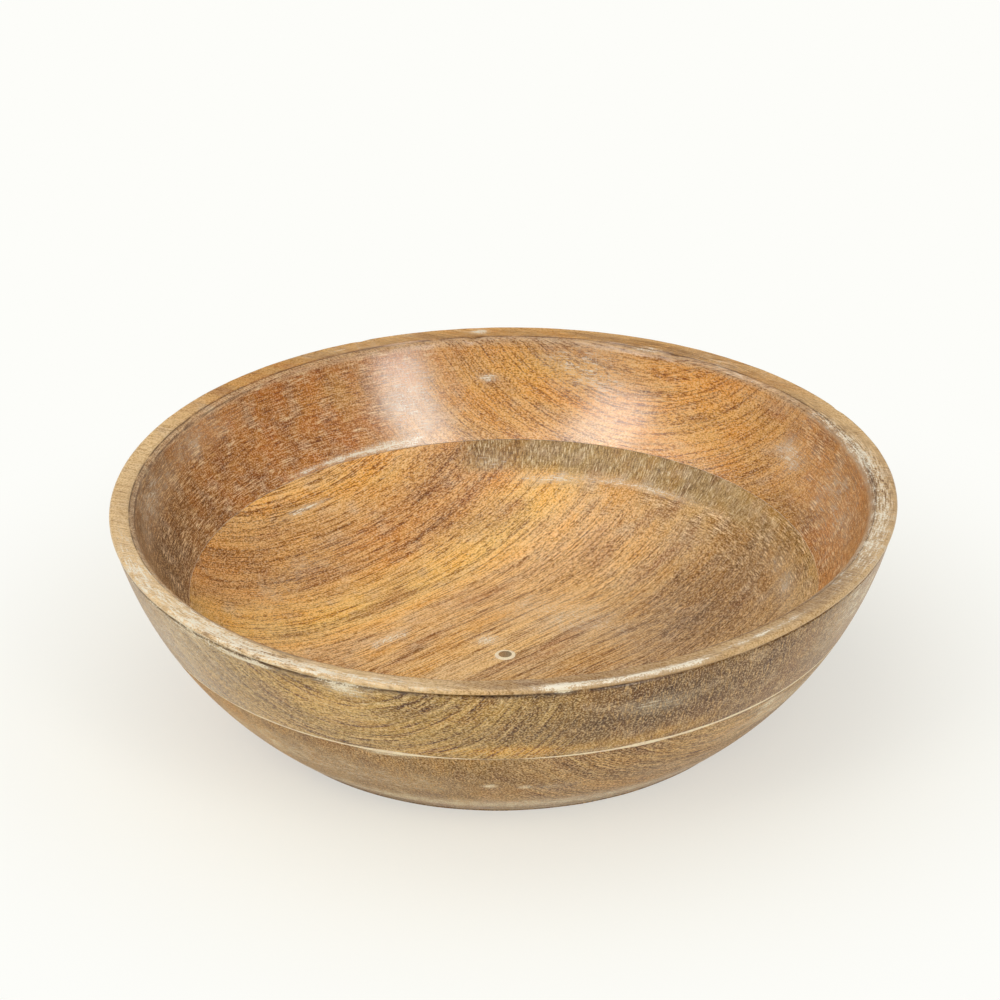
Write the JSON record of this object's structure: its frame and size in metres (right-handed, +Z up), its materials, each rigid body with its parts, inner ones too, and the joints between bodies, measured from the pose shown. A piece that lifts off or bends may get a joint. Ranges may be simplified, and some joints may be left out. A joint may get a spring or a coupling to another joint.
{
  "type": "dough bowl",
  "caption": "Round turned wooden bowl of planks glued face to face, with a beaded rim, a curved wall and a flat foot, for mixing and proving dough or for serving.",
  "frame": {"origin": "on the bowl's axis, at the level of the surface that its foot stands on", "axes": "+Z up along the turning axis, +X to the picture's right, +Y away from the camera"},
  "size_m": [0.3, 0.3, 0.0815],
  "materials": {
    "upper_wood": "satin oiled mango wood with worn whitewash",
    "lower_wood": "satin oiled mango wood",
    "glue": "cured cream glue and filler",
    "filler": "cream wood filler",
    "plug_wood": "dark end grain"
  },
  "bodies": {
    "root": {"rim_plank": "upper_wood", "seam_glue": "glue", "base_plank": "lower_wood", "plug_filler": "filler", "centre_plug": "plug_wood"}
  },
  "joints": []
}
